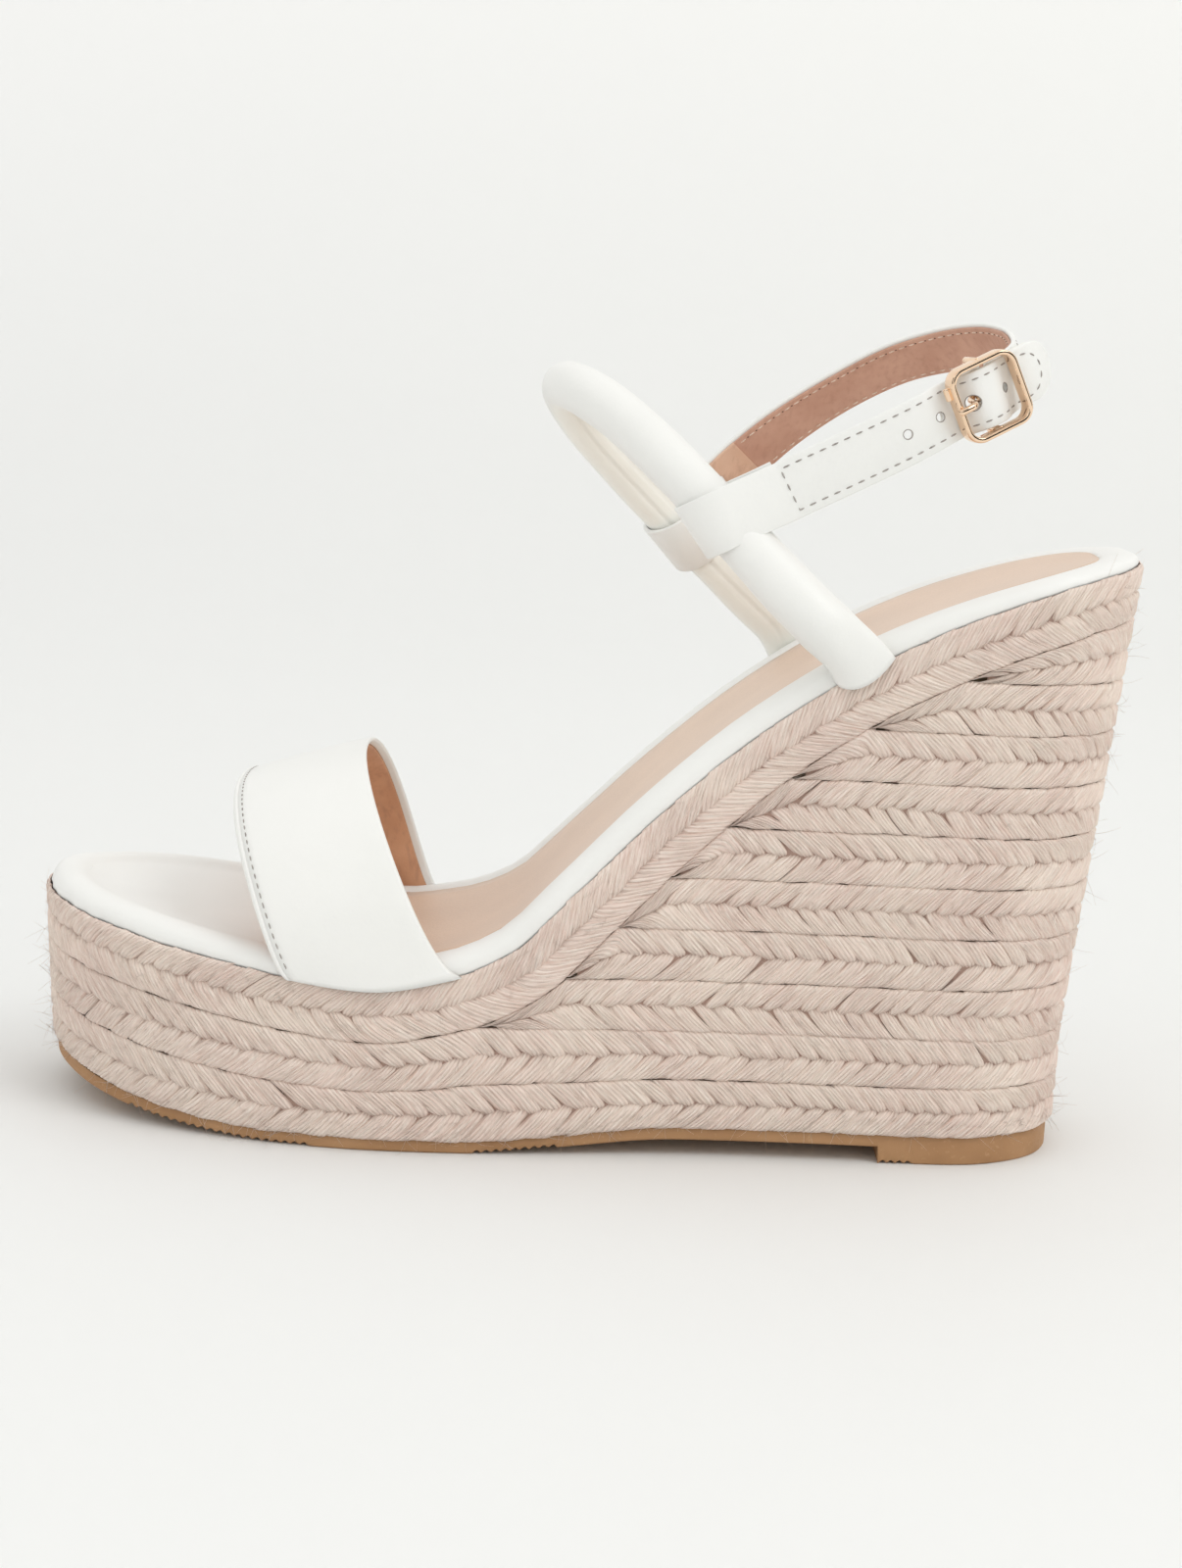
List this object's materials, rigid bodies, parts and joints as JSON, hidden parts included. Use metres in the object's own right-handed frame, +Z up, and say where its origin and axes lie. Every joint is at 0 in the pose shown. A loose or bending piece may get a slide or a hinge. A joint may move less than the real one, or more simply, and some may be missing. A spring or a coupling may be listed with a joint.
{
  "type": "wedge sandal",
  "caption": "Open-toe wedge sandal with a braided jute wedge, wide toe band, padded instep tube and buckled ankle strap.",
  "frame": {"origin": "on the ground under the middle of the sandal's bounding box", "axes": "+X from toe to heel, +Y from the outer side of the foot to the inner side, +Z up"},
  "size_m": [0.2227, 0.0911, 0.1686],
  "materials": {
    "braided_jute": "natural pinkish-beige braided jute, matt and hairy",
    "white_faux_leather": "smooth off-white faux leather with a soft sheen",
    "lining_leather": "matt pinkish-brown lining",
    "tan_sock_leather": "matt tan sock lining",
    "gum_rubber": "matt brown moulded rubber",
    "pale_gold_metal": "polished pale rose gold plating",
    "cream_foam": "cream foam padding",
    "wedge_board": "pressed cork and fibre board, unfinished"
  },
  "bodies": {
    "sandal_base": {"outsole": "gum_rubber", "wedge_core": "wedge_board", "braid_top_band": "braided_jute", "braid_row_01": "braided_jute", "braid_row_02": "braided_jute", "braid_row_03": "braided_jute", "braid_row_04": "braided_jute", "braid_row_05": "braided_jute", "braid_row_06": "braided_jute", "braid_row_07": "braided_jute", "braid_row_08": "braided_jute", "braid_row_09": "braided_jute", "braid_row_10": "braided_jute", "insole_board": "wedge_board", "footbed_padding": "cream_foam", "footbed_cover": "white_faux_leather", "sock_lining": "tan_sock_leather", "vamp_outer": "white_faux_leather", "vamp_lining": "lining_leather", "vamp_binding": "white_faux_leather", "instep_tube_cover": "white_faux_leather", "instep_tube_core": "cream_foam"},
    "strap_loops": {"lateral_strap_loop": "white_faux_leather", "medial_strap_loop": "white_faux_leather"},
    "ankle_strap": {"perforated_strap": "white_faux_leather", "perforated_strap_lining": "white_faux_leather", "heel_strap": "white_faux_leather", "heel_strap_lining": "lining_leather", "heel_strap_buckle_fold": "white_faux_leather"},
    "buckle": {"buckle_frame": "pale_gold_metal"},
    "prong": {"buckle_prong": "pale_gold_metal"}
  },
  "joints": [
    {"name": "strap_loops_slide", "type": "slide", "parent": "sandal_base", "child": "strap_loops", "axis": [-0.7322, 0, 0.6811], "range_m": [-0.002, 0.002]},
    {"name": "ankle_strap_swing", "type": "hinge", "parent": "strap_loops", "child": "ankle_strap", "pos_m": [0.03355, -0.00187, 0.13469], "axis": [0.1642, -0.9863, 0.0163], "range_deg": [-25, 15]},
    {"name": "buckle_tilt", "type": "hinge", "parent": "ankle_strap", "child": "buckle", "pos_m": [0.07334, -0.02497, 0.1544], "axis": [-0.4193, -0.1526, 0.8949], "range_deg": [-3, 3]},
    {"name": "prong_pivot", "type": "hinge", "parent": "buckle", "child": "prong", "pos_m": [0.07334, -0.02497, 0.1544], "axis": [-0.4193, -0.1526, 0.8949], "range_deg": [0, 3]}
  ]
}
